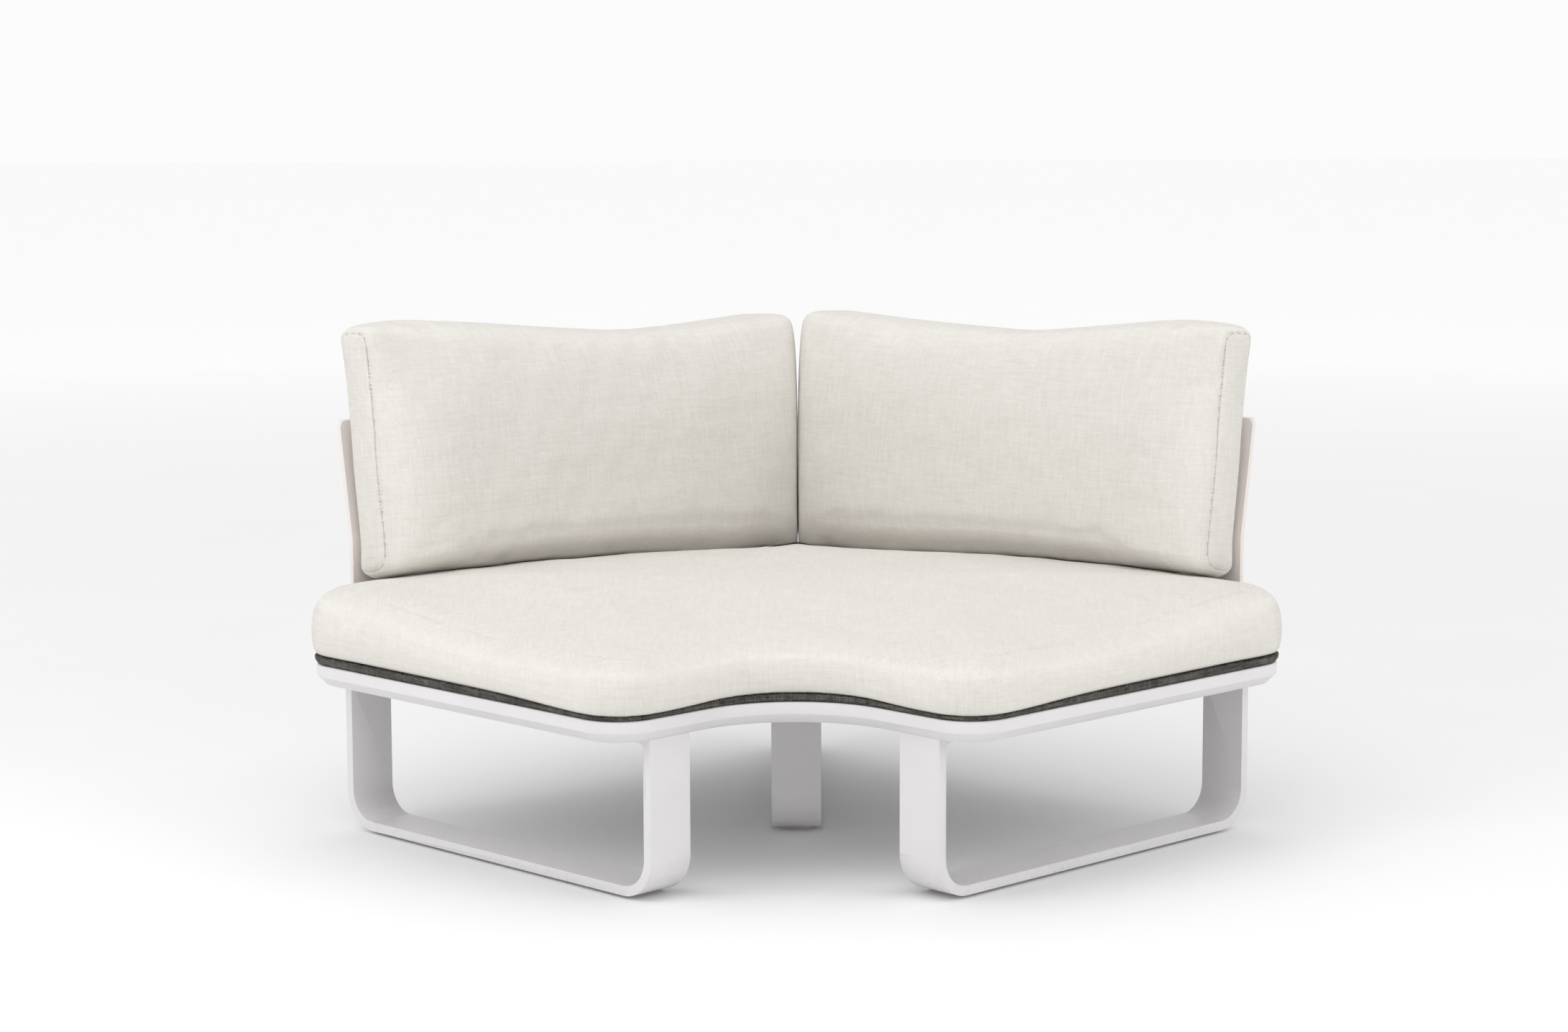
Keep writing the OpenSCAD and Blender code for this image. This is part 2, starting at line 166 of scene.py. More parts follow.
def loft(name, rings, matrix=None):
    """Closed rings of equal length, joined in order, with a flat face over each end."""
    n = len(rings[0])
    verts = np.concatenate(rings)
    faces = []
    for k in range(len(rings) - 1):
        for i in range(n):
            j = (i + 1) % n
            faces.append((k * n + i, k * n + j, (k + 1) * n + j, (k + 1) * n + i))
    faces.append(tuple(reversed(range(n))))
    faces.append(tuple(range((len(rings) - 1) * n, len(rings) * n)))
    return mesh_object(name, verts, faces, matrix)


def coords(obj):
    co = np.empty(len(obj.data.vertices) * 3)
    obj.data.vertices.foreach_get("co", co)
    return co.reshape(-1, 3)


def set_coords(obj, co):
    obj.data.vertices.foreach_set("co", co.ravel())
    obj.data.update()


def normals(obj):
    no = np.empty(len(obj.data.vertices) * 3)
    obj.data.vertices.foreach_get("normal", no)
    return no.reshape(-1, 3)


def apply_modifiers(obj):
    """The object keeps its shape with the modifiers made real."""
    bpy.context.view_layer.update()
    graph = bpy.context.evaluated_depsgraph_get()
    mesh = bpy.data.meshes.new_from_object(obj.evaluated_get(graph))
    obj.modifiers.clear()
    old = obj.data
    obj.data = mesh
    bpy.data.meshes.remove(old)


def remesh(obj, voxel):
    m = obj.modifiers.new("voxels", "REMESH")
    m.mode = "VOXEL"
    m.voxel_size = voxel
    apply_modifiers(obj)


def subdivide(obj):
    m = obj.modifiers.new("subdivision", "SUBSURF")
    m.levels = m.render_levels = 1
    apply_modifiers(obj)


def shade_smooth(obj):
    obj.data.polygons.foreach_set("use_smooth", [True] * len(obj.data.polygons))
    obj.data.update()


def puff(obj, pressure, cap):
    """Cloth under pressure: the cover fills and wrinkles, and no point moves more than cap."""
    before = coords(obj)
    m = obj.modifiers.new("cloth", "CLOTH")
    s = m.settings
    s.quality = 4
    s.mass = 0.4
    s.tension_stiffness = s.compression_stiffness = 25
    s.shear_stiffness = 8
    s.bending_stiffness = 1.5
    s.use_pressure = True
    s.uniform_pressure_force = pressure
    s.effector_weights.gravity = 0
    m.point_cache.frame_start = 1
    m.point_cache.frame_end = PUFF_FRAMES
    scene = bpy.context.scene
    for frame_number in range(1, PUFF_FRAMES + 1):
        scene.frame_set(frame_number)
    graph = bpy.context.evaluated_depsgraph_get()
    mesh = bpy.data.meshes.new_from_object(obj.evaluated_get(graph))
    after = np.empty(len(mesh.vertices) * 3)
    mesh.vertices.foreach_get("co", after)
    bpy.data.meshes.remove(mesh)
    obj.modifiers.clear()
    scene.frame_set(1)
    move = after.reshape(-1, 3) - before
    size = np.linalg.norm(move, axis=1, keepdims=True)
    move *= cap * np.tanh(size / cap) / np.maximum(size, 1e-9)
    set_coords(obj, before + move)


def groove(obj, path, depth, width, seed):
    """Pulls the surface in along a line of points, with small puckers, as a seam does."""
    reach = 4 * width
    tree = KDTree(len(path))
    for i, p in enumerate(path):
        tree.insert(p, i)
    tree.balance()
    co = coords(obj)
    no = normals(obj)
    rng = np.random.RandomState(seed)
    pucker = 1 + 0.35 * np.sin(np.arange(len(path)) * 2.1) + 0.25 * rng.uniform(-1, 1, len(path))
    lo, hi = np.min(path, axis=0) - reach, np.max(path, axis=0) + reach
    near = np.where(np.all((co > lo) & (co < hi), axis=1))[0]
    for i in near:
        _, k, dist = tree.find(co[i])
        if dist < reach:
            co[i] -= no[i] * depth * pucker[k] * math.exp(-((dist / width) ** 2))
    set_coords(obj, co)


def surface_tree(obj):
    mesh = obj.data
    return BVHTree.FromPolygons([v.co[:] for v in mesh.vertices], [p.vertices[:] for p in mesh.polygons])


def tube(name, pts, radius, matrix):
    """A thread of round section along a closed line of points."""
    n, sides = len(pts), 8
    t = np.roll(pts, -1, axis=0) - np.roll(pts, 1, axis=0)
    t /= np.maximum(np.linalg.norm(t, axis=1, keepdims=True), 1e-9)
    slanted = np.array([0.31, 0.52, 0.79])     # a direction that no thread runs along
    a = np.cross(t, np.tile(slanted, (n, 1)))
    a /= np.linalg.norm(a, axis=1, keepdims=True)
    b = np.cross(t, a)
    verts = []
    for i in range(n):
        for k in range(sides):
            w = 2 * math.pi * k / sides
            verts.append(pts[i] + radius * (math.cos(w) * a[i] + math.sin(w) * b[i]))
    faces = []
    for i in range(n):
        j = (i + 1) % n
        for k in range(sides):
            m = (k + 1) % sides
            faces.append((i * sides + k, i * sides + m, j * sides + m, j * sides + k))
    obj = mesh_object(name, verts, faces, matrix)
    shade_smooth(obj)
    return obj


def box_mesh(centre, size, axes):
    """Vertices and faces of one box along the given axes, for pieces made of many small blocks."""
    verts = []
    for sx, sy, sz in ((x, y, z) for z in (-1, 1) for y in (-1, 1) for x in (-1, 1)):
        off = np.array([sx * size[0], sy * size[1], sz * size[2]]) / 2
        verts.append(np.array(centre) + off @ axes)
    faces = [(0, 2, 3, 1), (4, 5, 7, 6), (0, 1, 5, 4), (2, 6, 7, 3), (0, 4, 6, 2), (1, 3, 7, 5)]
    return verts, faces


# ---- materials --------------------------------------------------------------------------


class Nodes:
    """Small helper for building a node material."""

    def __init__(self, name):
        self.mat = bpy.data.materials.new(name)
        self.mat.use_nodes = True
        self.tree = self.mat.node_tree
        self.tree.nodes.clear()
        self.out = self.tree.nodes.new("ShaderNodeOutputMaterial")
        self.bsdf = self.tree.nodes.new("ShaderNodeBsdfPrincipled")
        self.link(self.bsdf.outputs[0], self.out.inputs[0])

    def link(self, a, b):
        self.tree.links.new(a, b)

    def put(self, socket, value):
        if hasattr(value, "is_output"):
            self.link(value, socket)
        else:
            socket.default_value = value

    def math(self, op, a, b=0.0, c=None):
        n = self.tree.nodes.new("ShaderNodeMath")
        n.operation = op
        self.put(n.inputs[0], a)
        self.put(n.inputs[1], b)
        if c is not None:
            self.put(n.inputs[2], c)
        return n.outputs[0]

    def coords(self):
        n = self.tree.nodes.new("ShaderNodeTexCoord")
        return n.outputs["Object"], n.outputs["Normal"]

    def split(self, vector):
        n = self.tree.nodes.new("ShaderNodeSeparateXYZ")
        self.link(vector, n.inputs[0])
        return n.outputs[0], n.outputs[1], n.outputs[2]

    def join(self, x, y, z=0.0):
        n = self.tree.nodes.new("ShaderNodeCombineXYZ")
        for s, v in zip(n.inputs, (x, y, z)):
            self.put(s, v)
        return n.outputs[0]

    def noise(self, vector, scale, detail=2.0, rough=0.5):
        n = self.tree.nodes.new("ShaderNodeTexNoise")
        self.link(vector, n.inputs["Vector"])
        n.inputs["Scale"].default_value = scale
        n.inputs["Detail"].default_value = detail
        n.inputs["Roughness"].default_value = rough
        return n.outputs["Fac"]

    def mix(self, fac, a, b):
        n = self.tree.nodes.new("ShaderNodeMix")
        n.data_type = "RGBA"
        self.put(n.inputs[0], fac)
        self.put(n.inputs[6], a)
        self.put(n.inputs[7], b)
        return n.outputs[2]

    def remap(self, value, lo, hi, to_lo=0.0, to_hi=1.0):
        n = self.tree.nodes.new("ShaderNodeMapRange")
        for i, v in enumerate((value, lo, hi, to_lo, to_hi)):
            self.put(n.inputs[i], v)
        return n.outputs[0]

    def bump(self, height, strength, distance, normal=None):
        n = self.tree.nodes.new("ShaderNodeBump")
        n.inputs["Strength"].default_value = strength
        n.inputs["Distance"].default_value = distance
        self.link(height, n.inputs["Height"])
        if normal is not None:
            self.link(normal, n.inputs["Normal"])
        return n.outputs[0]


def colour(r, g, b):
    return (r, g, b, 1.0)


def weave(n, u, v, pitch, slub):
    """Height and tone of a plain weave in one plane, threads along u and v, with slubs along both."""
    wob = n.noise(n.join(u, v), 55, 2)
    u2 = n.math("ADD", n.math("DIVIDE", u, pitch), n.math("MULTIPLY", wob, 1.3))
    v2 = n.math("ADD", n.math("DIVIDE", v, pitch), n.math("MULTIPLY", wob, -1.1))
    su = n.math("SINE", n.math("MULTIPLY", u2, math.pi))
    sv = n.math("SINE", n.math("MULTIPLY", v2, math.pi))
    alt = n.math("MULTIPLY_ADD", n.math("MULTIPLY", su, sv), 0.5, 0.5)
    warp = n.math("MULTIPLY", n.math("ABSOLUTE", su), alt)
    weft = n.math("MULTIPLY", n.math("ABSOLUTE", sv), n.math("SUBTRACT", 1.0, alt))
    height = n.math("MAXIMUM", warp, weft)
    streaks = None
    for offset, wide, long in ((0.0, 1.7, 30.0), (5.0, 3.4, 16.0)):
        across = n.math("DIVIDE", u, pitch * wide)
        up = n.math("DIVIDE", v, pitch * wide)
        warp_slub = n.noise(n.join(across, n.math("MULTIPLY", v, long), offset), 1.0, 2, 0.6)
        weft_slub = n.noise(n.join(n.math("MULTIPLY", u, long), up, offset + 7.0), 1.0, 2, 0.6)
        both = n.math("ADD", warp_slub, weft_slub)
        streaks = both if streaks is None else n.math("ADD", streaks, both)
    tone = n.math("MULTIPLY_ADD", streaks, slub / 2, 1.0 - slub)
    return height, tone


def three_planes(n, pitch, slub):
    """The weave on whichever plane the surface faces, blended where it turns."""
    where, normal = n.coords()
    x, y, z = n.split(where)
    nx, ny, nz = (n.math("POWER", n.math("ABSOLUTE", c), 5.0) for c in n.split(normal))
    total = n.math("ADD", n.math("ADD", nx, ny), n.math("ADD", nz, 0.0001))
    height = tone = None
    for w, (u, v) in ((nx, (y, z)), (ny, (x, z)), (nz, (x, y))):
        h, t = weave(n, u, v, pitch, slub)
        w = n.math("DIVIDE", w, total)
        h = n.math("MULTIPLY", h, w)
        t = n.math("MULTIPLY", t, w)
        height = h if height is None else n.math("ADD", height, h)
        tone = t if tone is None else n.math("ADD", tone, t)
    return where, height, tone


def woven(name, light, dark, gap_shade, pitch, slub, strength, depth, sheen):
    """Plain weave of slubby threads: light and dark threads, painted shade in the low gaps between them,
    flecks, faint clouds and fuzz.
    """
    n = Nodes(name)
    where, height, tone = three_planes(n, pitch, slub)
    thread = n.mix(n.remap(tone, 0.77, 1.20), dark, light)
    # painted shade: the colour falls to the gap tone where the weave's relief is low, between the threads
    base = n.mix(n.remap(height, 0.0, 0.42), gap_shade, thread)
    fleck = n.remap(n.noise(where, 330.0, 2, 0.7), 0.52, 0.70, 0.0, 0.34)
    base = n.mix(fleck, base, dark)
    cloud = n.noise(where, 7.0, 3)
    n.link(n.mix(n.remap(cloud, 0.35, 0.7, 0.0, 0.12), base, dark), n.bsdf.inputs["Base Color"])
    n.link(n.remap(n.noise(where, 420.0, 1), 0.3, 0.7, 0.84, 0.97), n.bsdf.inputs["Roughness"])
    n.bsdf.inputs["Specular IOR Level"].default_value = 0.2
    n.bsdf.inputs["Sheen Weight"].default_value = sheen
    n.bsdf.inputs["Sheen Roughness"].default_value = 0.45
    fuzz = n.bump(n.noise(where, 900.0, 2), 0.25, depth * 0.6)
    n.link(n.bump(n.math("MULTIPLY", height, tone), strength, depth, fuzz), n.bsdf.inputs["Normal"])
    return n.mat


def powder_coat(name, tint, scuff, rough=0.42):
    """Fine orange peel with faint tone changes, and scuffs that gather near the floor."""
    n = Nodes(name)
    where, _ = n.coords()
    _, _, z = n.split(where)
    cloud = n.noise(where, 9.0, 3)
    darker = tuple(c * 0.965 for c in tint[:3]) + (1.0,)
    base = n.mix(n.remap(cloud, 0.35, 0.7), tint, darker)
    low = n.remap(z, 0.004, 0.06, 1.0, 0.0)
    marks = n.remap(n.noise(where, 160.0, 5, 0.65), 0.56, 0.72)
    wear = n.math("MULTIPLY", marks, n.math("MULTIPLY_ADD", low, 0.45, 0.05))
    n.link(n.mix(wear, base, scuff), n.bsdf.inputs["Base Color"])
    peel = n.noise(where, 1100.0, 2)
    soft = n.noise(where, 260.0, 2)
    n.link(n.remap(soft, 0.3, 0.7, rough - 0.05, rough + 0.08), n.bsdf.inputs["Roughness"])
    n.link(n.bump(peel, 0.22, 0.00035, n.bump(soft, 0.1, 0.0006)), n.bsdf.inputs["Normal"])
    n.bsdf.inputs["Specular IOR Level"].default_value = 0.45
    return n.mat


def steel(name):
    """Plated fasteners with fine brush marks."""
    n = Nodes(name)
    where, _ = n.coords()
    x, y, z = n.split(where)
    across, up, along = (n.math("MULTIPLY", c, s) for c, s in ((x, 60.0), (y, 60.0), (z, 900.0)))
    brush = n.noise(n.join(across, up, along), 1.0, 3)
    n.link(n.mix(brush, colour(0.5, 0.5, 0.51), colour(0.72, 0.72, 0.73)), n.bsdf.inputs["Base Color"])
    n.link(n.remap(brush, 0.2, 0.8, 0.26, 0.5), n.bsdf.inputs["Roughness"])
    n.link(n.bump(brush, 0.15, 0.0002), n.bsdf.inputs["Normal"])
    n.bsdf.inputs["Metallic"].default_value = 1.0
    return n.mat


def plastic(name, light, dark, rough=0.5):
    """Moulded plastic with a fine grain and faint tone changes."""
    n = Nodes(name)
    where, _ = n.coords()
    grain = n.noise(where, 700.0, 3)
    n.link(n.mix(n.noise(where, 45.0, 3), dark, light), n.bsdf.inputs["Base Color"])
    n.link(n.remap(grain, 0.3, 0.7, rough - 0.07, rough + 0.1), n.bsdf.inputs["Roughness"])
    n.link(n.bump(grain, 0.3, 0.0004), n.bsdf.inputs["Normal"])
    return n.mat


COVER = woven(
    "cover_weave", colour(0.85, 0.823, 0.775), colour(0.66, 0.635, 0.595), colour(0.50, 0.485, 0.455),
    pitch=1.8 * MM, slub=0.62, strength=0.6, depth=0.8 * MM, sheen=0.1)
BASE_MESH = woven(
    "base_mesh_weave", colour(0.20, 0.187, 0.168), colour(0.012, 0.011, 0.010), colour(0.003, 0.003, 0.003),
    pitch=4.2 * MM, slub=0.95, strength=1.0, depth=2 * MM, sheen=0.0)
# seam threads: real stitching, toned darker than the cover as a painted shadow line along each seam
SEAM_SHADE_THREAD = woven(
    "seam_thread_painted_shade", colour(0.62, 0.60, 0.57), colour(0.48, 0.47, 0.44), colour(0.35, 0.34, 0.32),
    pitch=0.8 * MM, slub=0.5, strength=0.5, depth=0.4 * MM, sheen=0.1)
WHITE_COAT = powder_coat("white_powder_coat", colour(0.725, 0.71, 0.715), colour(0.42, 0.40, 0.39))
DECK_COAT = powder_coat("deck_powder_coat", colour(0.69, 0.68, 0.69), colour(0.42, 0.40, 0.39), 0.48)
# the backrest's coat is the same white, tinted pink-beige as painted warm light bounced off the cushions
WARM_BOUNCE_BACK_COAT = powder_coat("backrest_coat_painted_warm_bounce", colour(0.78, 0.725, 0.695), colour(0.46, 0.42, 0.40), 0.45)
STEEL = steel("zinc_steel")
GLIDE = plastic("glide_plastic", colour(0.60, 0.59, 0.58), colour(0.47, 0.46, 0.45))
ZIP = plastic("zip_plastic", colour(0.05, 0.05, 0.05), colour(0.025, 0.025, 0.025), 0.42)
TAPE = woven(
    "zip_tape", colour(0.10, 0.10, 0.10), colour(0.05, 0.05, 0.05), colour(0.01, 0.01, 0.01),
    pitch=0.9 * MM, slub=0.4, strength=0.6, depth=0.4 * MM, sheen=0.05)

SLOT_MATERIALS = {
    "powder_coat": WHITE_COAT, "deck_coat": DECK_COAT, "backrest_coat": WARM_BOUNCE_BACK_COAT,
    "steel_fasteners": STEEL, "glide_plastic": GLIDE, "cover_fabric": COVER,
    "base_mesh": BASE_MESH, "cushion_foam": COVER, "zip_tape": ZIP,
}


def paint_cad_nodes():
    """Every CAD node gets the material of its own slot in the record."""
    for part in frame["record"]["subparts"]:
        obj = frame["nodes"][part["node"]]
        material = SLOT_MATERIALS[part["material_slot"]]
        if not obj.material_slots:
            obj.data.materials.append(material)
        for slot in obj.material_slots:
            slot.material = material


def soften_edges():
    """Small rounded edges on the coated bars, as powder coat leaves them."""
    for name, obj in frame["nodes"].items():
        if not (name.endswith(("_leg", "_post", "_rail")) or name == "seat_rim"):
            continue
        weld = obj.modifiers.new("weld", "WELD")
        weld.merge_threshold = 0.01 * MM
        bevel = obj.modifiers.new("soft_edges", "BEVEL")
        bevel.width = 0.9 * MM
        bevel.segments = 2
        bevel.limit_method = "ANGLE"
        bevel.angle_limit = math.radians(38)
        bevel.harden_normals = True


def dress(obj, material, body):
    obj.data.materials.clear()
    obj.data.materials.append(material)
    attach(obj, body)


# ---- seat cushion -----------------------------------------------------------------------

SEAT_VOXEL = 6.5 * MM
HEM_Z = RIM_TOP + 10.5 * MM         # lower edge of the pale cover
HEM_DIP = 10.5 * MM                 # how much lower it hangs at the two front corners
HEM_DIP_REACH = 0.15
HEM_BAND = 0.03                     # only points this near the edge hang lower
BASE_FOLLOWS = 0.75                 # share of the dip that the dark mesh follows
SHOULDER_Z = 0.399                  # shoulder height at the rear of the wings
FRONT_DROP = 0.036                  # how much lower the shoulder is at the front
CORNER_DROP = 0.036                 # and at the rear corner, between the back cushions
EDGE_REF = 0.395                    # shoulder height of the shape before it is fitted
CROWN = 0.054                       # height of the seat's middle above its shoulder
CROWN_START = 0.02                  # distances inwards over which the crown rises
CROWN_REACH = 0.38
SEAT_RIPPLES = ((0.0016, 5, 0.26), (0.0007, 9, 0.09))   # height, seed, wavelength
POST_GAP = 0.8 * MM                 # clearance between cushions and posts
CREASE_WIDTH = 4.5 * MM
# folds on the front shoulder: inset, start and end as fractions of the outline, depth
CREASES = [
    (0.036, 0.285, 0.315, 2.8 * MM), (0.040, 0.323, 0.345, 2.4 * MM), (0.044, 0.392, 0.424, 3.0 * MM),
    (0.036, 0.685, 0.715, 2.8 * MM), (0.040, 0.655, 0.677, 2.4 * MM), (0.044, 0.576, 0.608, 3.0 * MM),
]


def edge_distance(p, q):
    """Distance inwards from the rim's outer edge."""
    tree = KDTree(len(OUTLINE))
    for i, o in enumerate(OUTLINE):
        tree.insert((o[0], o[1], 0), i)
    tree.balance()
    return np.array([tree.find((a, b, 0))[2] for a, b in zip(p, q)])


def rear_distance(p, q):
    """Distance in front of the nearer back edge, rounded where the wings meet."""
    sharpness = 14.0
    return -np.log(np.exp(-sharpness * p) + np.exp(-sharpness * q)) / sharpness


def shoulder_z(p, q):
    """Height of the cushion's rounded top edge: lower at the front and at the rear corner."""
    front = smooth(rear_distance(p, q), 0.05, 0.5)
    corner = np.exp(-(np.clip(p + q - 0.26, 0, None) / 0.36) ** 2)
    return SHOULDER_Z - FRONT_DROP * front - CORNER_DROP * corner


def seat_top_z(p, q, inward):
    """Height of the seat's top: shoulder, crown and faint ripples."""
    ripple = sum(height * wave_noise(p, q, seed, size) for height, seed, size in SEAT_RIPPLES)
    lift = CROWN * ease(np.clip(inward - CROWN_START, 0, None), CROWN_REACH, 1.35)
    return shoulder_z(p, q) + lift + ripple * ease(inward, 0.1)


def hem_dip(p, q):
    """The cover hangs lower at the two front corners and covers the dark strip there."""
    out = 0
    for a, b in ((WING_L - CORNER_R, WING_D - CORNER_R), (WING_D - CORNER_R, WING_L - CORNER_R)):
        out = out + np.exp(-(((p - a) ** 2 + (q - b) ** 2) / HEM_DIP_REACH ** 2))
    return HEM_DIP * np.clip(out, 0, 1)


def ring(grow, z):
    """One closed ring at a given growth beyond the rim's edge, kept in front of the backrest."""
    p = np.maximum(OUTLINE[:, 0] + OUTLINE[:, 2] * grow, 1 * MM)
    q = np.maximum(OUTLINE[:, 1] + OUTLINE[:, 3] * grow, 1 * MM)
    x, y = plan_to_row(p, q)
    return np.stack([x, y, np.full(len(x), z)], axis=1)


def seat_cover():
    """The pale cover: a lofted pad, fitted to the seat's shape, filled by cloth and creased."""
    profile = [                     # growth beyond the rim in mm, height in metres
        (-14, HEM_Z + 0.006), (-6, HEM_Z + 0.0005), (1.5, HEM_Z + 0.0015), (6.0, 0.304), (8.2, 0.316),
        (8.8, 0.330), (8.0, 0.346), (5.6, 0.360), (0.8, 0.373), (-7, 0.3832), (-18, 0.3905),
        (-32, 0.3945), (-48, EDGE_REF),
    ]
    obj = loft("seat_cushion_cover", [ring(g * MM, z) for g, z in profile])
    remesh(obj, SEAT_VOXEL)
    co = coords(obj)
    p, q = row_to_plan(co[:, 0], co[:, 1])
    inward = edge_distance(p, q)
    top = seat_top_z(p, q, inward)
    t = np.clip((co[:, 2] - HEM_Z) / (EDGE_REF - HEM_Z), 0, 1)
    low = np.where(inward > HEM_BAND, 0.0, hem_dip(p, q))
    co[:, 2] = np.where(co[:, 2] < HEM_Z, co[:, 2], HEM_Z) - low * (1 - t) + t * (top - HEM_Z)
    set_coords(obj, co)
    puff(obj, 2.2, 4 * MM)
    subdivide(obj)
    co = coords(obj)
    p, q = row_to_plan(co[:, 0], co[:, 1])
    # nothing passes the backrest's front plane
    co[:, 0], co[:, 1] = plan_to_row(np.maximum(p, POST_GAP), np.maximum(q, POST_GAP))
    co[:, 2] = np.maximum(co[:, 2], RIM_TOP + 1.2 * MM)
    set_coords(obj, co)
    creases(obj)
    shade_smooth(obj)
    return obj


def outline_stretch(inset, start, end, step=0.004):
    """Plan points along an inset copy of the rim's edge, between two fractions of its length."""
    seg = np.linalg.norm(np.diff(OUTLINE[:, :2], axis=0, append=OUTLINE[:1, :2]), axis=1)
    total = seg.sum()
    s = np.concatenate([[0], np.cumsum(seg)[:-1]]) / total
    t = np.arange(start, end, step / total)
    p, q, out_p, out_q = (np.interp(t, s, OUTLINE[:, k]) for k in range(4))
    return p - out_p * inset, q - out_q * inset


def creases(obj):
    """Faint folds along the front shoulder, where the cover turns over the foam's edge."""
    tree = surface_tree(obj)
    for k, (inset, start, end, depth) in enumerate(CREASES):
        p, q = outline_stretch(inset, start, end)
        x, y = plan_to_row(p, q)
        path = []
        for a, b in zip(x, y):
            hit = tree.ray_cast(Vector((a, b, ABOVE)), Vector((0, 0, -1)))[0]
            if hit is not None:
                path.append(hit[:])
        if len(path) > 3:
            groove(obj, np.array(path), depth, CREASE_WIDTH, 20 + k)


def seat_base():
    """Dark open-mesh underside that shows as a strip between rim and cover."""
    z0 = RIM_TOP + 0.5 * MM
    z1 = HEM_Z + 3 * MM
    profile = [                     # growth beyond the rim in mm, height in metres
        (-30, z0), (-4.5, z0), (-1.0, z0 + 1.6 * MM), (1.2, z0 + 4 * MM), (2.6, z0 + 7 * MM),
        (3.0, z1 - 1 * MM), (-8, z1), (-30, z1),
    ]
    obj = loft("seat_base_mesh", [ring(g * MM, z) for g, z in profile])
    co = coords(obj)
    p, q = row_to_plan(co[:, 0], co[:, 1])
    t = np.clip((co[:, 2] - z0) / (z1 - z0), 0, 1)
    co[:, 2] -= hem_dip(p, q) * BASE_FOLLOWS * t
    set_coords(obj, co)
    shade_smooth(obj)
    return obj


# ---- back cushions ----------------------------------------------------------------------

BACK_VOXEL = 6 * MM
BACK_LEAN = math.radians(4.5)
BACK_BOX = 0.084                    # width of the side panel between the two seams
BACK_T = 0.138                      # thickness at the crown
BACK_CORNER = 0.024                 # radius of the panels' corners
BACK_INNER = 0.070                  # inner and outer end, from the outer back corner
BACK_OUTER = WING_L - 0.101
BACK_LENGTH = BACK_OUTER - BACK_INNER
BACK_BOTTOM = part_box("left_back_cover")[0].z - 6 * MM
BACK_HEIGHT = 0.802 - BACK_BOTTOM   # before the top edge is shaped
BACK_REAR = 6.0 * MM                # rear face at the bottom, in front of the seat's back edge
POST_BEND_Z = 0.470                 # the posts lean back above this height
POST_LEAN = math.radians(8.5)
# distances from its edges within which a back cushion rises to its full thickness
FILL_OUTER, FILL_INNER, FILL_TOP, FILL_BOTTOM = 0.13, 0.05, 0.24, 0.03
PAST_INNER = 0.012                  # the inner distance is counted from this far past the end
BOTTOM_FILL = 0.5                   # share of the crown that the bottom edge keeps
REAR_BULGE = 3 * MM
BACK_RIPPLES = ((2.4, 0.26), (0.9, 0.08))    # height in mm, wavelength
EDGE_CALM = 0.06                    # ripples fade out within this distance of an edge
INNER_RISE = 0.006                  # the top edge rises again by this at the inner end
WAIST = 0.007                       # how far the outer end is pulled in: at mid-height
WAIST_LOW = 0.010                   # and this much more towards the bottom
WAIST_REACH = 0.2
MIDDLE_PRESS = 0.022                # how far the lower inner corners are pressed down
MIDDLE_REACH = 0.07
ON_SEAT = 1.6 * MM                  # clearance between back cushions and seat
REAR_EDGE_R = 0.036                 # reach of the seat's rounded rear edge
SEAM_DEPTH = 2.2 * MM
SEAM_WIDTH = 2.4 * MM
THREAD_R = 0.7 * MM
# top edge of the left and the right cushion: offset at the inner end, rise from there to the outer
# end, and the fraction of the length at which the rise starts
TOP_EDGE = {True: (-0.022, 0.038, 0.34), False: (-0.017, 0.030, 0.50)}


def panel_ring(grow, n):
    """Rounded rectangle at depth n, as (a along the cushion, n, h up it), grown by grow."""
    o = rounded_rectangle((0, 0), (BACK_LENGTH, BACK_HEIGHT), BACK_CORNER, OUTLINE_STEP)
    return np.stack([o[:, 0] + o[:, 2] * grow, np.full(len(o), n), o[:, 1] + o[:, 3] * grow], axis=1)


def end_loop(a):
    """Seam round the panel in one end of a back cushion, as (a, n, h)."""
    side, end = 5 * MM, 8 * MM      # distance from the panel's long and short edges
    o = rounded_rectangle((side, end), (BACK_BOX - side, BACK_HEIGHT - end), BACK_CORNER, 6 * MM)
    return np.stack([np.full(len(o), a), o[:, 0], o[:, 1]], axis=1)


def back_shape(co, left):
    """Fits the plain block to the filled cushion: crowned front, soft top edge, pulled-in end."""
    seed = 31 if left else 47
    a, n, h = co[:, 0].copy(), co[:, 1].copy(), co[:, 2].copy()
    outer, inner = BACK_LENGTH - a, a + PAST_INNER
    top, bottom = BACK_HEIGHT - h, h
    # full: 1 where the cushion has its whole thickness, less towards its edges
    full = ease(np.clip(outer, 0, None), FILL_OUTER) * ease(np.clip(inner, 0, None), FILL_INNER)
    low_edge = BOTTOM_FILL + (1 - BOTTOM_FILL) * ease(np.clip(bottom, 0, None), FILL_BOTTOM)
    full = full * ease(np.clip(top, 0, None), FILL_TOP, 2.6) * low_edge
    nearest = np.minimum(np.minimum(outer, inner), np.minimum(top, bottom))
    ripple = sum(
        height * wave_noise(a, h, seed + k, size) for k, (height, size) in enumerate(BACK_RIPPLES))
    ripple = ripple * MM * ease(np.clip(nearest, 0, None), EDGE_CALM)
    t = np.clip(n / BACK_BOX, 0, 1)
    co[:, 1] = n + ((BACK_T - BACK_BOX) * full + ripple) * t - REAR_BULGE * (1 - t) * full
    fall, rise, start = TOP_EDGE[left]
    u = np.clip(a / BACK_LENGTH, 0, 1)
    level = fall + (rise - 2 * MM) * smooth(u, start, 0.93) + INNER_RISE * (1 - smooth(u, 0.06, 0.3))
    co[:, 2] = h + level * smooth(h / BACK_HEIGHT, 0.3, 1.0)
    waist = WAIST * np.sin(np.clip(h / BACK_HEIGHT, 0, 1) * math.pi)
    waist = waist + WAIST_LOW * (1 - smooth(h / BACK_HEIGHT, 0.0, 0.5))
    co[:, 0] = a - waist * (1 - ease(np.clip(outer, 0, None), WAIST_REACH))
    return co


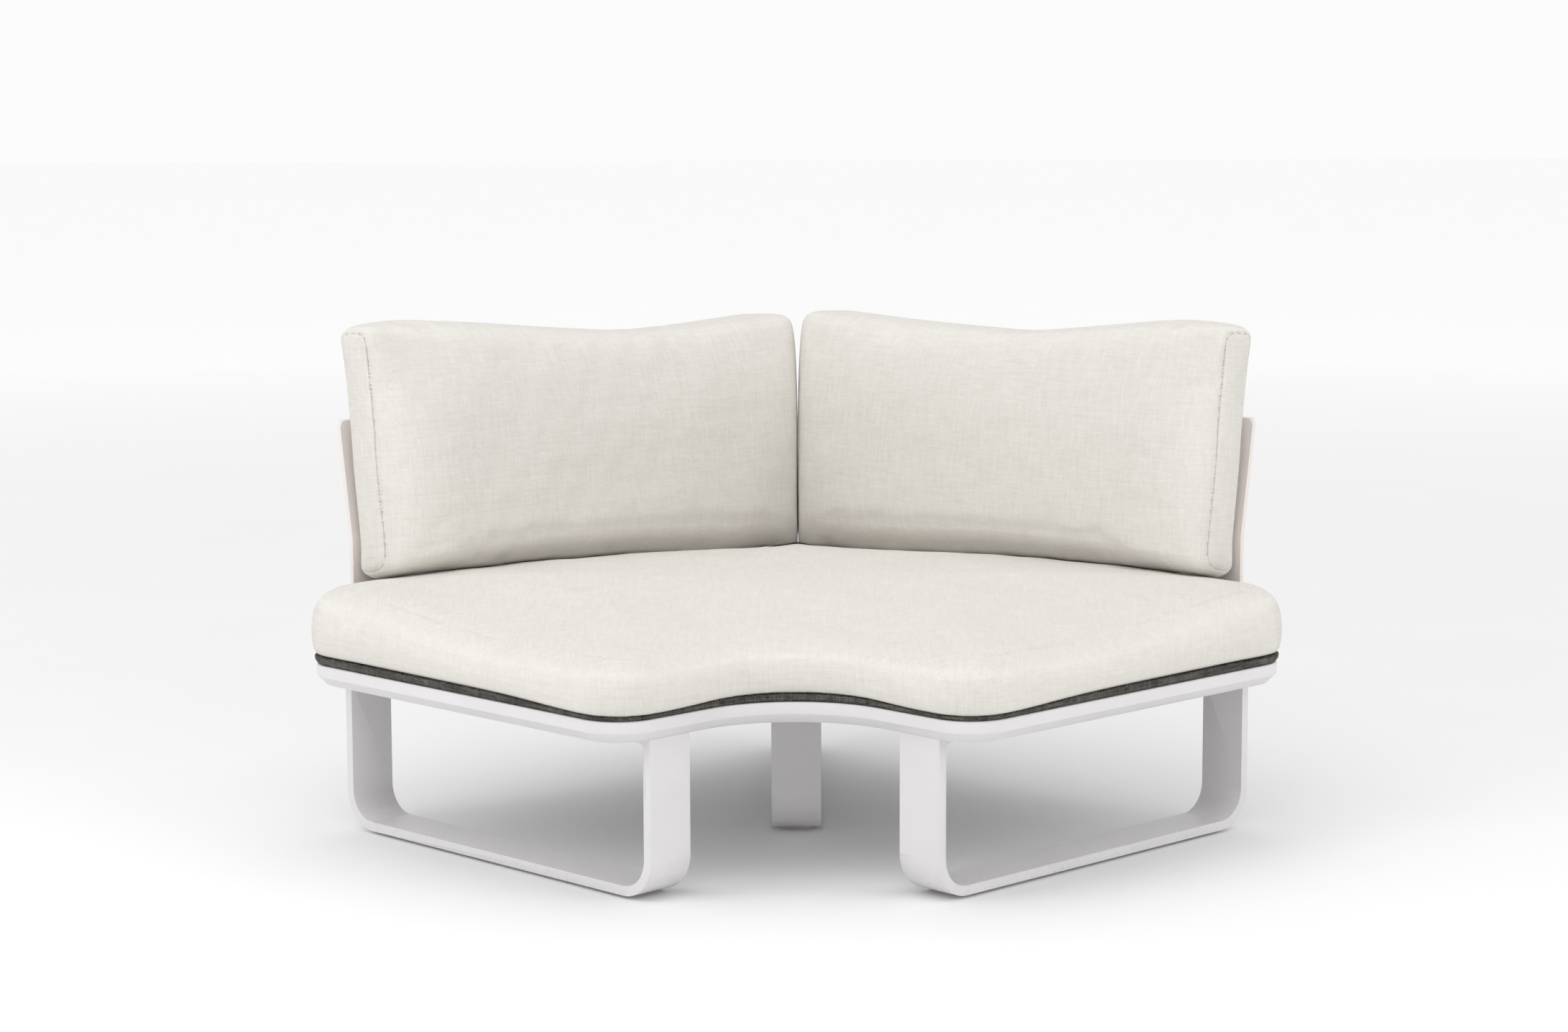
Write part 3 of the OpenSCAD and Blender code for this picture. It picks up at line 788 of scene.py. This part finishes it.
def back_matrix(left):
    """Frame of a back cushion: x along it, y forwards through it, z up it, from its inner lower corner."""
    c, s = math.cos(BACK_LEAN), math.sin(BACK_LEAN)
    side = 1 if left else -1
    along = Vector((-side / ROOT2, -1 / ROOT2, 0))
    forward = Vector((side / ROOT2, -1 / ROOT2, 0))
    up = Vector((0, 0, 1))
    x, y = plan_to_row(BACK_INNER, BACK_REAR)
    m = Matrix((along * side, forward * c + up * s, up * c - forward * s)).transposed().to_4x4()
    m.translation = Vector((x * side, y, BACK_BOTTOM))
    return m


def seat_height(seat_tree, x, y):
    """Height of the seat's top at a place, held level over its rounded rear edge."""
    p, q = row_to_plan(x, y)
    x, y = plan_to_row(max(p, REAR_EDGE_R), max(q, REAR_EDGE_R))
    return seat_tree.ray_cast(Vector((x, y, ABOVE)), Vector((0, 0, -1)))[0].z


def ground_under(world, seat_tree):
    return np.array([seat_height(seat_tree, x, y) for x, y in world[:, :2]]) + ON_SEAT


def settle(co, m, left, seat_tree):
    """Rests a cushion on the seat, against the posts and, at its inner end, against the other cushion."""
    side = -1 if left else 1
    world = co @ np.array(m.to_3x3()).T + np.array(m.translation)
    # the underside follows the seat, most of all where the two cushions meet
    ground = ground_under(world, seat_tree)
    t = np.clip((world[:, 2] - BACK_BOTTOM) / BACK_HEIGHT, 0, 1)
    near_middle = 1 - smooth(world[:, 0] * side, 0.0, MIDDLE_REACH)
    world[:, 2] += (ground - BACK_BOTTOM) * (1 - t) ** 1.4 - MIDDLE_PRESS * near_middle * (1 - t) ** 6
    # the rear face stays in front of the posts
    p, q = row_to_plan(world[:, 0], world[:, 1])
    post_front = -np.clip(world[:, 2] - POST_BEND_Z, 0, None) * math.tan(POST_LEAN)
    short = np.clip(post_front + POST_GAP - (q if left else p), 0, None)
    world[:, 0] -= side * short / ROOT2
    world[:, 1] -= short / ROOT2
    # distance from the middle plane, softly kept above a small clearance that opens upwards
    clear = (0.7 + 3.2 * smooth(world[:, 2], 0.62, 0.80)) * MM
    soft = 5 * MM
    away = (world[:, 0] * side - clear) / soft
    rounded = np.where(away > 30, away, np.log1p(np.exp(np.clip(away, -30, 30))))
    world[:, 0] = side * (clear + soft * rounded)
    world[:, 2] = np.maximum(world[:, 2], ground_under(world, seat_tree))
    inverse = m.inverted()
    return world @ np.array(inverse.to_3x3()).T + np.array(inverse.translation)


def back_cushion(left, seat_tree):
    """One back cushion: cover, seam threads and its frame. It is shaped as the left one, then mirrored."""
    side = "left" if left else "right"
    m = back_matrix(left)
    mirror = np.array([1 if left else -1, 1, 1])
    b = BACK_BOX
    profile = [                     # growth beyond the panel in mm, depth in metres
        (-20, 0.0), (-9, 0.0008), (-3, 0.0042), (0.2, 0.011), (1.8, 0.022), (2.6, b / 2),
        (1.8, b - 0.022), (0.2, b - 0.011), (-3, b - 0.0042), (-9, b - 0.0008), (-20, b),
    ]
    # rings run away from the back face: reversed for outward faces
    obj = loft(f"{side}_back_cushion_cover", [panel_ring(g * MM, n)[::-1] for g, n in profile])
    remesh(obj, BACK_VOXEL)
    set_coords(obj, back_shape(coords(obj), left))
    puff(obj, 3.0, 6 * MM)
    subdivide(obj)
    shape_tree = surface_tree(obj)
    seams = []
    for a in (BACK_LENGTH + 1 * MM, -1 * MM):
        path = back_shape(end_loop(a), left)
        seams.append(np.array([shape_tree.find_nearest(Vector(v))[0][:] for v in path]) * mirror)
    set_coords(obj, coords(obj) * mirror)
    if not left:
        obj.data.flip_normals()
    for k, path in enumerate(seams):
        groove(obj, path, SEAM_DEPTH, SEAM_WIDTH, 60 + k)
    set_coords(obj, settle(coords(obj), m, left, seat_tree))
    obj.matrix_world = m
    shade_smooth(obj)
    cover_tree = surface_tree(obj)
    threads = []
    for name, path in zip(("outer", "inner"), seams):
        path = settle(path, m, left, seat_tree)
        on_skin = []
        for v in path:
            hit, normal, _, _ = cover_tree.find_nearest(Vector(v))
            on_skin.append((hit + normal * 0.1 * MM)[:])
        threads.append(tube(f"{side}_back_{name}_seam", smooth_path(np.array(on_skin)), THREAD_R, m))
    return obj, threads, m


def smooth_path(path):
    """A closed line of points, averaged twice with its neighbours."""
    for _ in range(2):
        path = (np.roll(path, 1, axis=0) + 2 * path + np.roll(path, -1, axis=0)) / 4
    return path


# ---- zips -------------------------------------------------------------------------------

ZIP_POINTS = 60                     # points at which a zip's path is laid on the cover


def zip_strip(name, path, out, across, matrix=None):
    """Tape, two rows of teeth and a slider with its pull tab along a straight path, as (tape, teeth)."""
    length = np.linalg.norm(path[-1] - path[0])
    along = (path[-1] - path[0]) / length
    half, thick = 8 * MM, 0.5 * MM
    rings = []
    for v in path:
        low = v + out * 0.2 * MM
        high = low + out * thick
        bulge = out * 0.5 * MM
        lower = [low - across * half, low + across * half, high + across * half]
        upper = [high + across * 2 * MM + bulge, high - across * 2 * MM + bulge, high - across * half]
        rings.append(np.array(lower + upper))
    tape = loft(name + "_tape", rings, matrix)
    axes = np.array([along, out, across])
    verts, faces = [], []

    def add(centre, size):
        v, f = box_mesh(centre, size, axes)
        base = len(verts)
        verts.extend(v)
        faces.extend(tuple(i + base for i in quad) for quad in f)

    steps = np.cumsum([0] + [np.linalg.norm(b - a) for a, b in zip(path[:-1], path[1:])])
    pitch = 3.0 * MM
    for k in range(int(length / pitch) - 4):
        s = (k + 2) * pitch
        place = np.array([np.interp(s, steps, path[:, i]) for i in range(3)])
        row = 1 if k % 2 else -1
        add(place + out * 1.5 * MM + across * row * 0.9 * MM, (1.7 * MM, 1.3 * MM, 3.6 * MM))
    start = path[0] + along * 9 * MM
    add(start + out * 2.4 * MM, (11 * MM, 2.8 * MM, 8.5 * MM))
    add(start + out * 4.2 * MM, (5 * MM, 1.2 * MM, 3 * MM))
    add(start + out * 4.4 * MM + along * 12 * MM, (22 * MM, 1.2 * MM, 5 * MM))
    teeth = mesh_object(name + "_teeth", verts, faces, matrix)
    bevel = teeth.modifiers.new("soft_edges", "BEVEL")
    bevel.width = 0.25 * MM
    bevel.segments = 1
    apply_modifiers(teeth)
    return tape, teeth


def back_zip(left, cover, m):
    """The zip low on a back cushion's rear face, laid on the cover's skin."""
    side = 1 if left else -1
    height, start, end = 0.062, 0.18, BACK_LENGTH - 0.16
    tree = surface_tree(cover)
    path = []
    for a in np.linspace(start, end, ZIP_POINTS):
        hit = tree.ray_cast(Vector((a * side, -0.1, height)), Vector((0, 1, 0)))[0]
        path.append((a * side, hit.y, height))
    name = "left_back_zip" if left else "right_back_zip"
    return zip_strip(name, np.array(path), np.array([0.0, -1.0, 0.0]), np.array([0.0, 0.0, 1.0]), m)


def seat_zip(cover):
    """The zip in the seat cushion's rear wall, on the side of the CAD strip that it stands for."""
    tree = surface_tree(cover)
    z = (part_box("seat_zip")[0].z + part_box("seat_zip")[1].z) / 2
    path = []
    start, end = 0.25, 0.85         # along the left wing
    for p in np.linspace(start, end, ZIP_POINTS):
        x, y = plan_to_row(p, -0.05)
        hit = tree.ray_cast(Vector((x, y, z)), Vector((1, -1, 0)).normalized())[0]
        path.append(hit[:])
    out = np.array([-1.0, 1.0, 0.0]) / ROOT2
    return zip_strip("seat_zip", np.array(path), out, np.array([0.0, 0.0, 1.0]))


# ---- camera, light and floor ------------------------------------------------------------


def make_camera():
    """The photograph's viewing angle, distance and lens."""
    yaw, pitch, roll = 0.00963, 0.13243, -0.00347
    fw = Vector((-math.sin(yaw) * math.cos(pitch), math.cos(yaw) * math.cos(pitch), -math.sin(pitch)))
    rt = Vector((math.cos(yaw), math.sin(yaw), 0))
    up = rt.cross(fw)
    right = rt * math.cos(roll) + up * math.sin(roll)
    top = -rt * math.sin(roll) + up * math.cos(roll)
    m = Matrix((right, top, -fw)).transposed().to_4x4()
    m.translation = Vector((0.03244, VERTEX_Y - 6.11161, 1.22593))     # metres, from the camera fit
    data = bpy.data.cameras.new("camera")
    data.lens = 77.09
    data.sensor_width = 36.0
    data.clip_end = 100
    cam = bpy.data.objects.new("camera", data)
    cam.matrix_world = m
    bpy.context.scene.collection.objects.link(cam)
    bpy.context.scene.camera = cam


def area_light(name, place, target, size, power):
    data = bpy.data.lights.new(name, "AREA")
    data.shape = "RECTANGLE"
    data.size, data.size_y = size
    data.energy = power
    obj = bpy.data.objects.new(name, data)
    obj.location = place
    obj.rotation_euler = (Vector(target) - Vector(place)).to_track_quat("-Z", "Y").to_euler()
    bpy.context.scene.collection.objects.link(obj)


def make_floor():
    """Pale floor that grows as bright as the studio's wall far behind the bench."""
    n = Nodes("pale_floor")
    where, _ = n.coords()
    tone = n.mix(n.noise(where, 3.0, 2), colour(0.87, 0.87, 0.87), colour(0.89, 0.89, 0.89))
    n.link(tone, n.bsdf.inputs["Base Color"])
    n.bsdf.inputs["Roughness"].default_value = 0.9
    n.bsdf.inputs["Specular IOR Level"].default_value = 0.0
    x, y, _ = n.split(where)
    reach = n.math("SQRT", n.math("ADD", n.math("MULTIPLY", x, x), n.math("MULTIPLY", y, y)))
    n.bsdf.inputs["Emission Color"].default_value = colour(1, 1, 1)
    n.link(n.remap(reach, 2.0, 9.0, 0.0, 0.24), n.bsdf.inputs["Emission Strength"])
    half = 40
    corners = [(-half, -half, 0), (half, -half, 0), (half, half, 0), (-half, half, 0)]
    floor = mesh_object("floor", corners, [(0, 1, 2, 3)])
    floor.data.materials.append(n.mat)


def make_world():
    """White surroundings that dim from the horizon upwards."""
    world = bpy.data.worlds.new("studio")
    world.use_nodes = True
    nodes, links = world.node_tree.nodes, world.node_tree.links
    direction = nodes.new("ShaderNodeTexCoord")
    parts = nodes.new("ShaderNodeSeparateXYZ")
    band = nodes.new("ShaderNodeMapRange")
    band.interpolation_type = "SMOOTHSTEP"
    for socket, value in zip(band.inputs[1:5], (0.10, 0.34, 0.97, 0.80)):
        socket.default_value = value
    links.new(direction.outputs["Generated"], parts.inputs[0])
    links.new(parts.outputs[2], band.inputs[0])
    links.new(band.outputs[0], nodes["Background"].inputs[1])
    nodes["Background"].inputs[0].default_value = colour(1, 1, 1)
    bpy.context.scene.world = world


def make_studio():
    make_floor()
    make_world()
    area_light("key", (-1.2, -2.2, 4.5), (0, 0, 0.3), (4.0, 3.5), 52)
    area_light("top", (0, 0.6, 5.5), (0, 0, 0), (7.0, 7.0), 28)
    area_light("left", (-3.5, -2.5, 2.5), (0, 0, 0.5), (2.5, 2.5), 34)
    area_light("right", (3.5, -2.5, 2.5), (0, 0, 0.5), (2.5, 2.5), 34)
    scene = bpy.context.scene
    scene.view_settings.view_transform = "Standard"
    scene.view_settings.look = "None"


# ---- the object -------------------------------------------------------------------------

make_camera()
make_studio()
paint_cad_nodes()
soften_edges()

seat = seat_cover()
seat_tree = surface_tree(seat)
dress(seat, COVER, "seat_cushion")
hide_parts("seat_cover", "seat_foam_core")

for piece, material in zip(seat_zip(seat), (TAPE, ZIP)):
    dress(piece, material, "seat_cushion")
    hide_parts("seat_zip")

base = seat_base()
dress(base, BASE_MESH, "seat_cushion")
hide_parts("seat_mesh_base")

for is_left in (True, False):
    side = "left" if is_left else "right"
    body = f"{side}_back_cushion"
    cover, threads, place = back_cushion(is_left, seat_tree)
    dress(cover, COVER, body)
    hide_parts(f"{side}_back_cover", f"{side}_back_foam_core")
    for thread in threads:
        # the seam threads carry the darker painted shadow line along the seams
        dress(thread, SEAM_SHADE_THREAD, body)
    for piece, material in zip(back_zip(is_left, cover, place), (TAPE, ZIP)):
        dress(piece, material, body)
        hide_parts(f"{side}_back_zip")
